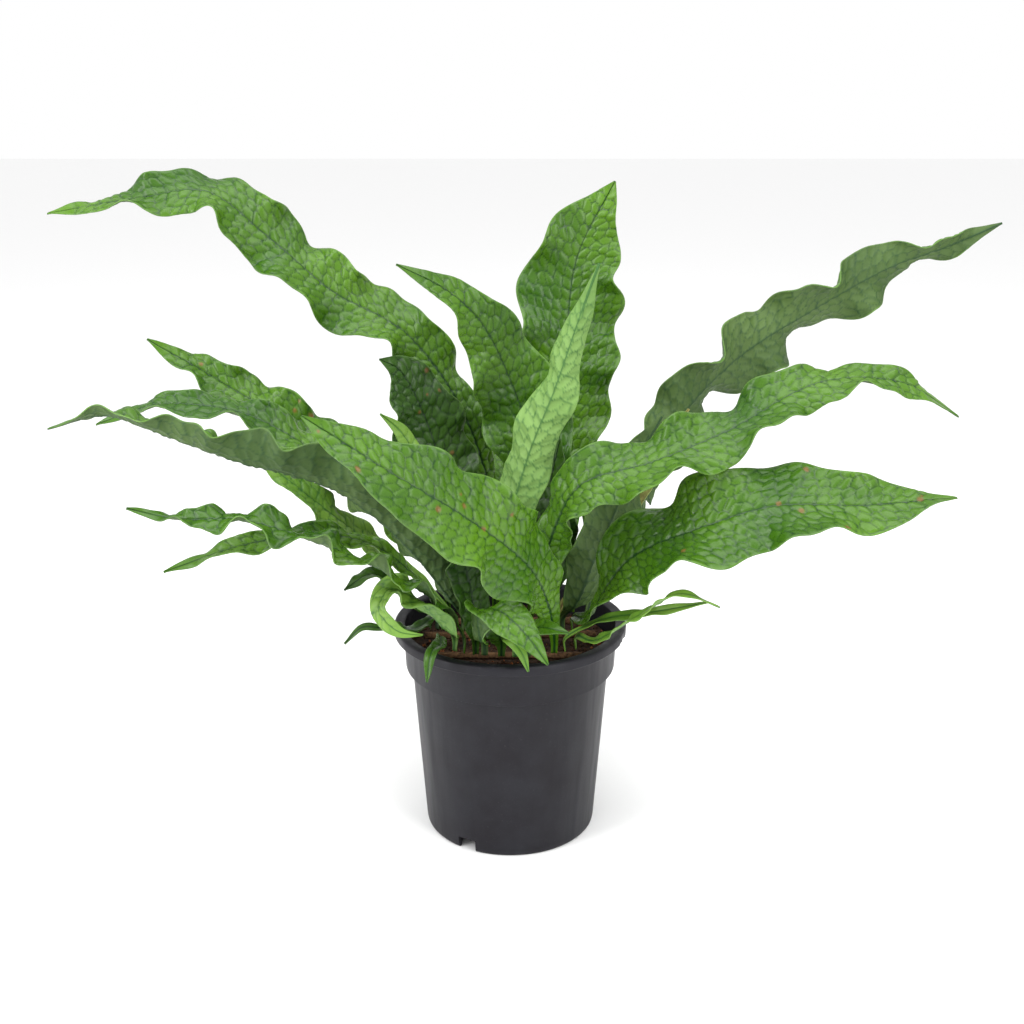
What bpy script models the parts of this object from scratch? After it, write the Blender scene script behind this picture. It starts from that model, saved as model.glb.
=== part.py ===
"""A potted crocodile fern: a plain nursery pot, peat, creeping rootstock and strap-shaped fronds.

Metres, +Z up. The origin is the middle of the pot's base, on the surface that the pot stands on.
The lengths in the tables below are millimetres, and MM turns them into metres.
"""

import math
from collections import namedtuple

import bmesh
import bpy
import numpy as np

MM = 0.001

# Pot: a thin moulded wall with a turned-down lip, a collar, and a foot ring round a raised drain channel.
POT_HEIGHT = 159.0
LIP_RADIUS = 85.0
LIP_DEPTH = 7.0
COLLAR_TOP_RADIUS = 78.3
COLLAR_FOOT_RADIUS = 77.0
SHOULDER_HEIGHT = 126.0
BODY_TOP_RADIUS = 72.3
BASE_RADIUS = 63.2
WALL = 1.6
CHANNEL_HEIGHT = 10.0
CHANNEL_INNER_RADIUS = 43.0
CHANNEL_OUTER_RADIUS = 57.0
FOOT_WIDTH = 3.5
POT_SEGMENTS = 40
NOTCH_WIDTH = 14.0
NOTCH_HEIGHT = 9.5
NOTCH_ANGLES = (240.0, 0.0, 120.0)
DRAIN_HOLE_RADIUS = 4.0
DRAIN_HOLE_COUNT = 6

# Peat: it fills the pot to a little under the lip.
GAP = 0.3
SOIL_HEIGHT = 140.0
SOIL_SEGMENTS = 32
SOIL_RINGS = 5
SOIL_ROUGHNESS = 0.7

# Rootstock: three creeping arms that lie on the peat.
ROOT_RADIUS = 6.0
ROOT_LIFT = 1.4
ROOT_TIP_SHARE = 0.45
ROOT_ARMS = {
    "back": ((-52, 24), (-20, 34), (16, 36), (50, 26)),
    "middle": ((-62, -2), (-25, -10), (20, -12), (62, 0)),
    "front": ((-52, -38), (-20, -51), (16, -53), (50, -38)),
}

# Fronds: strap-shaped blades on short stalks, about a millimetre thick.
FROND_THICKNESS = 1.0
WIDE_FROND = 25.0
STALK_HALF_WIDTH = 2.3
STALK_STUB = 9.0
TIP_HALF_WIDTH = 0.5
STATION_SPACING = 13.0

# arm and spot: where on the rootstock the frond grows, as a share of the arm's length.
# route: the midrib's points in mm; width: the widest place in mm, and where it is along the frond.
# faces: the way that the upper side looks, at even steps from base to tip.
# curl: how far the left and right halves lift towards the upper side in degrees, base to tip.
# waves: how many ruffles the edges have, and how far they lift and drop in degrees.
# tail: how blunt the tip is, from 1 for a long thin point to 2 for a blunt one.
Frond = namedtuple("Frond", "name arm spot route width widest faces left right waves tail", defaults=(1.5,))

FRONDS = (
    Frond("frond_left_high", "back", 0.40,
          ((-8, 44, 200), (-32, 54, 295), (-75, 60, 358), (-130, 60, 391), (-172, 60, 428),
           (-215, 60, 460), (-260, 56, 456), (-325, 50, 446)),
          48, 0.55, ((1, -2, 0), (2, -3, 1), (1, -3, 2), (0, -1, 3)), (10, 5), (10, 5), (7, 24), 1.7),
    Frond("frond_left_second", "back", 0.05,
          ((-50, 18, 205), (-110, 24, 262), (-160, 28, 300), (-205, 32, 328), (-258, 34, 360)),
          42, 0.50, ((1, -2, 1), (1, -3, 2), (0, -1, 1)), (20, 40, 5), (10, 10, 5), (6, 22)),
    Frond("frond_left_third", "middle", 0.30,
          ((-43, -20, 190), (-85, -25, 245), (-130, -30, 292), (-180, -32, 322), (-235, -32, 328),
           (-280, -30, 314)),
          30, 0.55, ((1, -1, 1), (0, -1, 2), (0, -1, 2)), (10, 20, 10), (10, 10, 5), (6, 20)),
    Frond("frond_left_long", "middle", 0.22,
          ((-38, -50, 190), (-75, -76, 250), (-115, -92, 288), (-170, -102, 308), (-212, -102, 324),
           (-252, -98, 337), (-290, -95, 328)),
          52, 0.45, ((1, 0, 1), (0, 0, 1), (0, 0, 1), (0, 0, 1)), (40, 80, 70, 15), (5, 0, 0), (8, 16)),
    Frond("frond_left_wavy", "front", 0.20,
          ((-42, -72, 195), (-76, -110, 236), (-118, -130, 264), (-165, -138, 282), (-200, -140, 283),
           (-232, -140, 290)),
          28, 0.50, ((1, 0, 1), (0, 0, 1), (0, -1, 2)), (10, 10), (10, 10), (7, 34)),
    Frond("frond_left_low", "middle", 0.10,
          ((-57, -34, 195), (-92, -54, 235), (-132, -72, 250), (-178, -86, 246), (-225, -95, 232)),
          19, 0.60, ((1, 0, 1), (0, -1, 2), (0, -1, 2)), (10, 10), (10, 10), (5, 24)),
    Frond("frond_left_pale", "middle", 0.17,
          ((-64, -4, 190), (-105, -20, 230), (-140, -48, 272), (-167, -58, 300)),
          26, 0.60, ((1, 0, 1), (1, -1, 2), (1, -2, 2)), (10, 10), (10, 10), (4, 16)),
    Frond("frond_left_dark", "middle", 0.03,
          ((-72, -5, 175), (-98, -20, 202), (-116, -35, 196)),
          16, 0.50, ((1, 0, 1), (0, -1, 2)), (10, 10), (10, 10), (3, 20)),
    Frond("frond_left_curl", "front", 0.13,
          ((-46, -76, 186), (-62, -92, 212), (-78, -102, 222), (-84, -111, 212), (-72, -117, 200),
           (-56, -117, 197)),
          24, 0.35, ((1, 1, 1), (1, 1, 1), (-1, -1, 1), (-1, -2, -1)), (10, 10), (10, 10), (3, 14)),
    Frond("frond_left_ribbon", "middle", 0.07,
          ((-66, -52, 174), (-76, -74, 184), (-86, -86, 189), (-98, -90, 191), (-110, -92, 180)),
          9, 0.50, ((1, 1, 1), (0, -1, 1)), (5, 5), (5, 5), (3, 20)),
    Frond("frond_left_hook", "front", 0.03,
          ((-48, -66, 168), (-53, -84, 170), (-56, -92, 152)),
          10, 0.50, ((1, 1, 1), (-1, -2, 2)), (5, 5), (5, 5), (2, 10)),
    Frond("frond_sweeping", "front", 0.80,
          ((26, -64, 195), (10, -102, 240), (-28, -138, 284), (-72, -155, 318), (-122, -150, 350)),
          60, 0.44, ((0, -1, 1), (1, -3, 2), (1, -2, 2)), (0, 5), (10, 10), (4, 12)),
    Frond("frond_front_bright", "front", 0.34,
          ((-20, -72, 174), (-20, -92, 202), (-6, -112, 211), (10, -126, 201), (24, -134, 184)),
          26, 0.55, ((0, 1, 1), (1, 0, 1), (0, -1, 2), (0, -2, 1)), (0, 0), (0, 0), (2, 12)),
    Frond("frond_front_dark", "front", 0.45,
          ((-7, -62, 172), (-10, -72, 196)),
          20, 0.60, ((0, -1, 0), (0, -1, 1)), (10, 10), (10, 10), (2, 10)),
    Frond("frond_front_small", "front", 0.62,
          ((11, -72, 172), (12, -92, 190), (24, -108, 198), (38, -114, 197)),
          16, 0.60, ((0, 1, 1), (0, -1, 1), (0, -1, 2)), (5, 5), (5, 5), (2, 12)),
    Frond("frond_front_hook", "front", 0.54,
          ((1, -74, 172), (1, -89, 181), (8, -97, 175), (12, -101, 164)),
          10, 0.50, ((0, 1, 1), (0, -1, 1)), (5, 5), (5, 5), (2, 10)),
    Frond("frond_right_thin", "front", 0.96,
          ((58, -68, 172), (84, -92, 200), (110, -108, 222), (134, -116, 216)),
          10, 0.50, ((-1, 0, 1), (0, 0, 1)), (5, 5), (5, 5), (4, 22)),
    Frond("frond_right_slim", "front", 0.88,
          ((64, -50, 180), (96, -66, 192), (132, -80, 205)),
          8, 0.50, ((-1, 0, 1), (0, -1, 1)), (5, 5), (5, 5), (3, 18)),
    Frond("frond_right_bright", "middle", 0.86,
          ((54, -40, 178), (80, -70, 232), (122, -95, 262), (166, -105, 280), (222, -110, 282),
           (279, -112, 288)),
          66, 0.50, ((-1, 0, 1), (-1, -2, 2), (0, -2, 2), (0, -1, 2)), (5, 5), (20, 10), (4, 16)),
    Frond("frond_right_arching", "middle", 0.60,
          ((22, -42, 205), (30, -64, 252), (48, -80, 288), (90, -86, 303), (142, -74, 322),
           (200, -62, 350), (255, -55, 348), (295, -52, 325)),
          46, 0.45, ((0, -1, 0), (-1, -2, 2), (0, -1, 2), (0, -1, 2)), (5, 5), (5, 5), (6, 22)),
    Frond("frond_right_high", "middle", 0.95,
          ((62, 2, 185), (84, 4, 228), (112, 15, 294), (158, 30, 344), (218, 45, 380), (272, 55, 408),
           (310, 60, 421), (350, 62, 438)),
          50, 0.48, ((-1, 1, 0), (-1, 3, 0), (-1, 4, 1), (0, 2, 1)), (10, 5), (10, 5), (5, 42)),
    Frond("frond_centre_pale", "middle", 0.46,
          ((-2, -34, 190), (0, -52, 250), (12, -58, 300), (29, -58, 345), (43, -52, 386), (57, -45, 424)),
          34, 0.50, ((0, 1, 0), (1, 3, 0), (1, 3, 1)), (15, 20, 50), (15, 20, 50), (4, 12)),
    Frond("frond_centre_broad", "back", 0.66,
          ((32, 20, 190), (30, 18, 235), (18, 18, 283), (0, 12, 335), (-20, 0, 378), (-44, -10, 402),
           (-75, -20, 420)),
          60, 0.52, ((0, -1, 0), (0, -1, 0), (0, -2, 1), (0, -1, 1)), (8, 8), (8, 8), (5, 12), 0.85),
    Frond("frond_centre_tall", "back", 0.74,
          ((38, 62, 195), (40, 75, 243), (41, 85, 304), (43, 92, 360), (50, 95, 411), (76, 90, 465)),
          78, 0.62, ((0, -1, 0), (0, -1, 0), (0, -2, 1)), (8, 8), (8, 8), (5, 12)),
    Frond("frond_inner_left", "back", 0.25,
          ((-26, 25, 196), (-48, 28, 261), (-62, 28, 306), (-78, 20, 340), (-91, 12, 350)),
          54, 0.60, ((1, -3, 0), (1, -3, 1), (0, -1, 1)), (8, 8), (8, 8), (4, 12)),
    Frond("frond_inner_slim", "middle", 0.38,
          ((-40, 8, 210), (-60, 5, 266), (-76, 0, 300), (-90, -5, 315)),
          18, 0.60, ((1, -3, 1), (1, -2, 1)), (8, 8), (8, 8), (3, 14)),
    Frond("frond_right_yellow", "middle", 0.75,
          ((46, -3, 185), (84, -11, 245), (108, -6, 292), (124, -2, 318)),
          14, 0.60, ((-1, -1, 1), (-1, -2, 1)), (8, 8), (8, 8), (3, 14)),
    Frond("frond_right_folded", "middle", 0.80,
          ((47, -25, 182), (58, -31, 215), (73, -32, 255), (91, -27, 296), (103, -24, 318)),
          40, 0.45, ((-1, 2, 0), (-1, 3, 0), (-1, 3, 0)), (15, 15), (15, 15), (3, 20)),
    Frond("frond_centre_dark", "middle", 0.68,
          ((25, -17, 188), (29, -21, 230), (28, -22, 270), (34, -24, 302)),
          36, 0.50, ((0, -1, 0), (0, -1, 0)), (12, 12), (12, 12), (3, 14)),
    Frond("frond_middle_dark", "middle", 0.53,
          ((1, -19, 188), (-5, -21, 222), (-11, -22, 258)),
          24, 0.50, ((0, -1, 0), (0, -1, 0)), (10, 10), (10, 10), (3, 14)),
    Frond("frond_left_inner", "front", 0.28,
          ((-24, -60, 180), (-28, -66, 215), (-36, -74, 248), (-46, -80, 270)),
          28, 0.50, ((1, -2, 0), (1, -2, 1)), (10, 10), (10, 10), (3, 16)),
    Frond("frond_back_left", "back", 0.14,
          ((-45, 70, 215), (-80, 120, 245), (-110, 165, 225), (-130, 200, 180)),
          40, 0.55, ((0, -1, 1), (0, 0, 1), (0, 1, 2)), (10, 10), (10, 10), (6, 20)),
    Frond("frond_back_middle", "back", 0.48,
          ((0, 78, 228), (-10, 130, 262), (-20, 180, 235), (-25, 215, 180)),
          44, 0.55, ((0, -1, 1), (0, 0, 1), (0, 1, 2)), (10, 10), (10, 10), (6, 20)),
    Frond("frond_back_right", "back", 0.96,
          ((68, 70, 212), (88, 125, 245), (110, 175, 222), (122, 205, 182)),
          40, 0.55, ((0, -1, 1), (0, 0, 1), (0, 1, 2)), (10, 10), (10, 10), (6, 20)),
    Frond("frond_back_low_left", "back", 0.33,
          ((-28, 75, 185), (-45, 105, 190), (-60, 130, 165)),
          22, 0.55, ((0, -1, 1), (0, 1, 2)), (10, 10), (10, 10), (3, 18)),
    Frond("frond_back_low_right", "back", 0.57,
          ((20, 78, 182), (34, 110, 192), (46, 140, 166)),
          24, 0.55, ((0, -1, 1), (0, 1, 2)), (10, 10), (10, 10), (3, 18)),
)

PALE_FRONDS = ("frond_left_pale", "frond_centre_pale", "frond_left_curl", "frond_right_thin",
               "frond_right_slim", "frond_inner_slim", "frond_front_hook")
YELLOW_FRONDS = ("frond_right_yellow",)


def clear_scene():
    """Start from an empty scene."""
    for thing in list(bpy.data.objects):
        bpy.data.objects.remove(thing, do_unlink=True)


def finish(thing, colour, roughness):
    """Give a sub-part its own material."""
    material = bpy.data.materials.new(thing.name + "_finish")
    material.use_nodes = True
    shader = material.node_tree.nodes["Principled BSDF"]
    shader.inputs["Base Color"].default_value = (*colour, 1.0)
    shader.inputs["Roughness"].default_value = roughness
    shader.inputs["Metallic"].default_value = 0.0
    thing.data.materials.append(material)


def add_object(name, body):
    """Turn a bmesh into a named object of the scene."""
    mesh = bpy.data.meshes.new(name)
    body.to_mesh(mesh)
    body.free()
    mesh.shade_smooth()
    mesh.set_sharp_from_angle(angle=math.radians(35))
    thing = bpy.data.objects.new(name, mesh)
    bpy.context.scene.collection.objects.link(thing)
    return thing


def turned(name, outline, segments):
    """Turn a closed outline of (radius, height) points in mm about the Z axis."""
    body = bmesh.new()
    corners = [body.verts.new((radius * MM, 0.0, height * MM)) for radius, height in outline]
    edges = [body.edges.new(pair) for pair in zip(corners, corners[1:])]
    if outline[0][0] > 0.0:
        edges.append(body.edges.new((corners[-1], corners[0])))
    bmesh.ops.spin(body, geom=corners + edges, cent=(0, 0, 0), axis=(0, 0, 1), dvec=(0, 0, 0),
                   angle=math.tau, steps=segments, use_merge=True, use_duplicate=False)
    bmesh.ops.remove_doubles(body, verts=body.verts, dist=0.00001)
    bmesh.ops.recalc_face_normals(body, faces=body.faces)
    return add_object(name, body)


def cut_away(thing, cutter):
    """Take a hidden cutter out of a sub-part."""
    cutter.hide_render = True
    cutter.display_type = "WIRE"
    boolean = thing.modifiers.new("cut_" + cutter.name, "BOOLEAN")
    boolean.operation = "DIFFERENCE"
    boolean.solver = "EXACT"
    boolean.object = cutter


def smooth_line(points, spacing):
    """Evenly spaced points on a smooth curve that passes through all the given points."""
    points = np.array(points, float)
    before = 2 * points[0] - points[1]
    after = 2 * points[-1] - points[-2]
    padded = np.vstack((before, points, after))
    steps = np.sqrt(np.linalg.norm(np.diff(padded, axis=0), axis=1))
    knots = np.concatenate(((0.0,), np.cumsum(steps)))
    curve = []
    for i in range(1, len(padded) - 2):
        k0, k1, k2, k3 = knots[i - 1:i + 3]
        p0, p1, p2, p3 = padded[i - 1:i + 3]
        for k in np.linspace(k1, k2, 24, endpoint=False):
            a1 = ((k1 - k) * p0 + (k - k0) * p1) / (k1 - k0)
            a2 = ((k2 - k) * p1 + (k - k1) * p2) / (k2 - k1)
            a3 = ((k3 - k) * p2 + (k - k2) * p3) / (k3 - k2)
            b1 = ((k2 - k) * a1 + (k - k0) * a2) / (k2 - k0)
            b2 = ((k3 - k) * a2 + (k - k1) * a3) / (k3 - k1)
            curve.append(((k2 - k) * b1 + (k - k1) * b2) / (k2 - k1))
    curve.append(points[-1])
    curve = np.array(curve)
    run = np.concatenate(((0.0,), np.cumsum(np.linalg.norm(np.diff(curve, axis=0), axis=1))))
    count = max(8, round(run[-1] / spacing) + 1)
    return along(run / run[-1], curve, np.linspace(0.0, 1.0, count))


def along(stations, rows, wanted):
    """Read rows of numbers that are given at some stations at other stations."""
    rows = np.array(rows, float)
    return np.stack([np.interp(wanted, stations, column) for column in rows.T], axis=1)


def unit(rows):
    """Scale each row to length one."""
    return rows / np.linalg.norm(rows, axis=1, keepdims=True)


def arm_line(arm):
    """The middle line of a rootstock arm, in mm."""
    height = SOIL_HEIGHT + ROOT_LIFT + ROOT_RADIUS
    return smooth_line([(x, y, height) for x, y in ROOT_ARMS[arm]], 8.0)


def half_width(frond, share):
    """Half the frond's width at a share of its length: stalk, widest place, pointed tip."""
    widest = frond.width / 2
    rise = np.clip(share / frond.widest, 0.0, 1.0)
    rise = rise * rise * (3 - 2 * rise)
    fall = np.clip((share - frond.widest) / (1 - frond.widest), 0.0, 1.0)
    fall = np.cos(fall ** frond.tail * math.pi / 2)
    growing = STALK_HALF_WIDTH + (widest - STALK_HALF_WIDTH) * rise
    closing = TIP_HALF_WIDTH + (widest - TIP_HALF_WIDTH) * fall
    return np.where(share < frond.widest, growing, closing)


def build_frond(frond):
    """One frond: a flat grid bent along its midrib, then given its thickness."""
    stem = arm_line(frond.arm)
    foot = along(np.linspace(0, 1, len(stem)), stem, [frond.spot])[0]
    foot[2] += ROOT_RADIUS + GAP
    stub = foot + (0, 0, STALK_STUB)
    line = smooth_line([foot, stub, *frond.route], STATION_SPACING)
    share = np.linspace(0.0, 1.0, len(line))
    onward = unit(np.gradient(line, axis=0))
    look = along(np.linspace(0, 1, len(frond.faces)), unit(np.array(frond.faces, float)), share)
    upper = unit(look - np.sum(look * onward, axis=1, keepdims=True) * onward)
    side = np.cross(onward, upper)
    half = half_width(frond, share)
    count, lift = frond.waves
    ripple = math.tau * count * share
    swell = np.clip(share * 4, 0, 1) * lift
    curl_left = np.interp(share, np.linspace(0, 1, len(frond.left)), frond.left) + swell * np.sin(ripple)
    curl_right = np.interp(share, np.linspace(0, 1, len(frond.right)), frond.right)
    curl_right += swell * np.sin(ripple + 2)
    across = 4 if frond.width > WIDE_FROND else 2
    body = bmesh.new()
    bmesh.ops.create_grid(body, x_segments=across, y_segments=len(line) - 1, size=1.0)
    for corner in body.verts:
        place = round((corner.co.y + 1) / 2 * (len(line) - 1))
        out = corner.co.x
        lifted = curl_right[place] if out > 0 else curl_left[place]
        angle = math.radians(lifted) * (0.4 + 0.6 * abs(out))
        level = out * half[place] * math.cos(angle)
        height = abs(out) * half[place] * math.sin(angle)
        corner.co = (line[place] + side[place] * level + upper[place] * height) * MM
    thing = add_object(frond.name, body)
    thickness = thing.modifiers.new("thickness", "SOLIDIFY")
    thickness.thickness = FROND_THICKNESS * MM
    thickness.offset = 0.0
    if frond.name in YELLOW_FRONDS:
        finish(thing, (0.55, 0.50, 0.15), 0.6)
    elif frond.name in PALE_FRONDS:
        finish(thing, (0.25, 0.42, 0.12), 0.4)
    else:
        finish(thing, (0.08, 0.27, 0.04), 0.3)


def build_pot():
    """The pot: one turned shell, with drain holes through the channel and notches through the foot."""
    lip_foot = POT_HEIGHT - LIP_DEPTH
    foot_inner = BASE_RADIUS - FOOT_WIDTH
    outline = (
        (0.0, 0.0), (CHANNEL_INNER_RADIUS - 3, 0.0), (CHANNEL_INNER_RADIUS, CHANNEL_HEIGHT),
        (CHANNEL_OUTER_RADIUS, CHANNEL_HEIGHT), (foot_inner - 0.6, 0.0), (BASE_RADIUS - 1.5, 0.0),
        (BASE_RADIUS - 0.4, 1.2), (BASE_RADIUS, 3.0),
        (BODY_TOP_RADIUS, SHOULDER_HEIGHT - 1), (COLLAR_FOOT_RADIUS, SHOULDER_HEIGHT + 1),
        (COLLAR_TOP_RADIUS, POT_HEIGHT - WALL), (LIP_RADIUS - WALL, POT_HEIGHT - WALL),
        (LIP_RADIUS - WALL, lip_foot), (LIP_RADIUS, lip_foot), (LIP_RADIUS, POT_HEIGHT - 1.5),
        (LIP_RADIUS - 1.5, POT_HEIGHT), (COLLAR_TOP_RADIUS - 0.5, POT_HEIGHT),
        (COLLAR_TOP_RADIUS - WALL - 0.3, POT_HEIGHT - 1.5),
        (COLLAR_FOOT_RADIUS - WALL, SHOULDER_HEIGHT + 1 + WALL),
        (BODY_TOP_RADIUS - WALL, SHOULDER_HEIGHT - 1),
        (BASE_RADIUS - WALL, CHANNEL_HEIGHT + WALL + 1.5), (BASE_RADIUS - WALL - 1.5, CHANNEL_HEIGHT + WALL),
        (CHANNEL_INNER_RADIUS - 1.0, CHANNEL_HEIGHT + WALL), (CHANNEL_INNER_RADIUS - 4.1, WALL), (0.0, WALL),
    )
    pot = turned("pot", outline, POT_SEGMENTS)
    finish(pot, (0.018, 0.018, 0.024), 0.42)
    middle = (CHANNEL_INNER_RADIUS + CHANNEL_OUTER_RADIUS) / 2
    for number in range(DRAIN_HOLE_COUNT):
        turn = math.tau * (number + 0.5) / DRAIN_HOLE_COUNT
        body = bmesh.new()
        bmesh.ops.create_cone(body, cap_ends=True, segments=12, radius1=DRAIN_HOLE_RADIUS * MM,
                              radius2=DRAIN_HOLE_RADIUS * MM, depth=6 * WALL * MM)
        hole = add_object("drain_hole_cutter_%d" % number, body)
        hole.location.x = middle * math.cos(turn) * MM
        hole.location.y = middle * math.sin(turn) * MM
        hole.location.z = (CHANNEL_HEIGHT + WALL / 2) * MM
        cut_away(pot, hole)
    for degrees in NOTCH_ANGLES:
        turn = math.radians(degrees)
        body = bmesh.new()
        bmesh.ops.create_cube(body, size=1.0)
        size = (2.4 * FOOT_WIDTH * MM, NOTCH_WIDTH * MM, 2 * NOTCH_HEIGHT * MM)
        bmesh.ops.scale(body, vec=size, verts=body.verts)
        notch = add_object("notch_cutter_%d" % degrees, body)
        reach = BASE_RADIUS - FOOT_WIDTH / 2
        notch.location = (reach * math.cos(turn) * MM, reach * math.sin(turn) * MM, 0.0)
        notch.rotation_euler = (0, 0, turn)
        cut_away(pot, notch)


def build_soil():
    """The peat: a plug that follows the inside of the pot, with a crumbly top."""
    floor = CHANNEL_HEIGHT + WALL + GAP
    side = WALL + GAP
    outline = [
        (0.0, WALL + GAP), (CHANNEL_INNER_RADIUS - 4.6, WALL + GAP), (CHANNEL_INNER_RADIUS - 1.3, floor),
        (BASE_RADIUS - side - 1.7, floor), (BASE_RADIUS - side - 0.2, floor + 2),
        (BODY_TOP_RADIUS - side - 0.2, SHOULDER_HEIGHT - 1.2),
        (COLLAR_FOOT_RADIUS - side - 0.2, SHOULDER_HEIGHT + 1.2 + WALL),
        (BODY_TOP_RADIUS - side + 4, SOIL_HEIGHT),
    ]
    for ring in range(SOIL_RINGS - 1, -1, -1):
        outline.append((BODY_TOP_RADIUS * ring / SOIL_RINGS, SOIL_HEIGHT + 0.2))
    soil = turned("potting_soil", outline, SOIL_SEGMENTS)
    lumps = np.random.default_rng(4)
    for corner in soil.data.vertices:
        if corner.co.z > (SOIL_HEIGHT - 0.1) * MM:
            corner.co.z += lumps.uniform(-1, 1) * SOIL_ROUGHNESS * MM
    finish(soil, (0.045, 0.026, 0.017), 0.95)


def build_rootstock(arm):
    """One creeping arm of the rootstock: a blunt-ended tube that thins towards its tips."""
    line = arm_line(arm)
    curve = bpy.data.curves.new("rootstock_" + arm, "CURVE")
    curve.dimensions = "3D"
    curve.bevel_depth = ROOT_RADIUS * MM
    curve.bevel_resolution = 2
    curve.use_fill_caps = True
    spline = curve.splines.new("POLY")
    spline.points.add(len(line) - 1)
    for number, place in enumerate(line):
        share = number / (len(line) - 1)
        spline.points[number].co = (*(place * MM), 1.0)
        swelling = max(0.0, math.sin(math.pi * share)) ** 0.35
        spline.points[number].radius = ROOT_TIP_SHARE + (1 - ROOT_TIP_SHARE) * swelling
    thing = bpy.data.objects.new("rootstock_" + arm, curve)
    bpy.context.scene.collection.objects.link(thing)
    finish(thing, (0.10, 0.055, 0.03), 0.85)


clear_scene()
build_pot()
build_soil()
for arm_name in ROOT_ARMS:
    build_rootstock(arm_name)
for row in FRONDS:
    build_frond(row)
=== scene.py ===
"""Looks of a potted crocodile fern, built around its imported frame."""

import math
from collections import namedtuple

import bpy
import numpy as np
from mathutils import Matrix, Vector, noise


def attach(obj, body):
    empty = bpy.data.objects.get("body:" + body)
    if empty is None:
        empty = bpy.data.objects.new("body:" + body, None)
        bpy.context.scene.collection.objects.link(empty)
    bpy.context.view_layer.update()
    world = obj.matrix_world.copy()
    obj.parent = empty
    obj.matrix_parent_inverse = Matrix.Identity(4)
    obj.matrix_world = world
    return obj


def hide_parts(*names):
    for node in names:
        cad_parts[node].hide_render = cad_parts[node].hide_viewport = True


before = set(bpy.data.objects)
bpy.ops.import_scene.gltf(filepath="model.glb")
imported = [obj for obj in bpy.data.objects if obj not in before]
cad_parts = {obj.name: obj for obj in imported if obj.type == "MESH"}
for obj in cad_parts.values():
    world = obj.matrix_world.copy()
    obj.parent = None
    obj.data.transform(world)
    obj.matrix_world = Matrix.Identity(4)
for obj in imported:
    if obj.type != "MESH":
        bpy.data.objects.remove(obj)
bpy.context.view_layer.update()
MM = 0.001


# ---------------------------------------------------------------- studio
# A seamless white sweep under broad, soft lamps, as a nursery shows its plants.
# Two tall soft boxes stand left and right of the camera, and a wide one hangs overhead.

def lamp(name, place, size, energy, aim):
    """A rectangular soft box that looks at a point."""
    light = bpy.data.lights.new(name, "AREA")
    light.shape = "RECTANGLE"
    light.size, light.size_y = size
    light.energy = energy
    holder = bpy.data.objects.new(name, light)
    holder.location = place
    holder.rotation_euler = (Vector(aim) - Vector(place)).to_track_quat("-Z", "Y").to_euler()
    bpy.context.scene.collection.objects.link(holder)


def plain_material(name):
    """A new node material, with its shader and a helper to link nodes."""
    material = bpy.data.materials.new(name)
    material.use_nodes = True
    return material, material.node_tree.nodes, material.node_tree.links


CAMERA_PLACE = (0.0, -0.918, 0.542)
CAMERA_PITCH = 18.1
camera = bpy.data.cameras.new("camera")
camera.lens = 47.6
camera.shift_x = 0.0017
camera_holder = bpy.data.objects.new("camera", camera)
camera_holder.location = CAMERA_PLACE
camera_holder.rotation_euler = (math.radians(90 - CAMERA_PITCH), 0, 0)
bpy.context.scene.collection.objects.link(camera_holder)
bpy.context.scene.camera = camera_holder
bpy.context.scene.view_settings.view_transform = "Standard"

lamp("soft_box_left", (-1.15, -0.75, 0.75), (0.55, 1.5), 16, (0, 0, 0.2))
lamp("soft_box_right", (0.85, -1.05, 0.8), (0.5, 1.5), 11, (0, 0, 0.2))
lamp("soft_box_top", (0.0, -0.25, 1.7), (1.6, 1.2), 20, (0, 0, 0.2))
world = bpy.data.worlds.new("studio_air")
world.use_nodes = True
world.node_tree.nodes["Background"].inputs["Color"].default_value = (1, 1, 1, 1)
world.node_tree.nodes["Background"].inputs["Strength"].default_value = 1.0
bpy.context.scene.world = world

bpy.ops.object.select_all(action="DESELECT")
bpy.ops.mesh.primitive_plane_add(size=16)
floor = bpy.context.object
floor.name = "studio_floor"
material, nodes, links = plain_material("white_floor")
nodes["Principled BSDF"].inputs["Base Color"].default_value = (0.93, 0.93, 0.93, 1)
nodes["Principled BSDF"].inputs["Roughness"].default_value = 0.9
floor.data.materials.append(material)


# ---------------------------------------------------------------- pot
# A thin injection-moulded nursery pot of near-black plastic with a soft satin sheen: a turned-down
# lip, a collar above a shoulder, a tapered wall, and a foot ring round a raised drain channel.

POT_HEIGHT = 159.0
LIP_RADIUS = 85.0
LIP_DEPTH = 7.0
COLLAR_TOP = 78.3
COLLAR_FOOT = 77.0
SHOULDER = 126.0
BODY_TOP = 72.3
BASE_RADIUS = 63.2
WALL = 1.5
CHANNEL = 10.0
CHANNEL_INNER = 43.0
CHANNEL_OUTER = 57.0
FOOT_WIDTH = 3.5
NOTCH_ANGLES = (240.0, 0.0, 120.0)
POT_STEPS = 160


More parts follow.
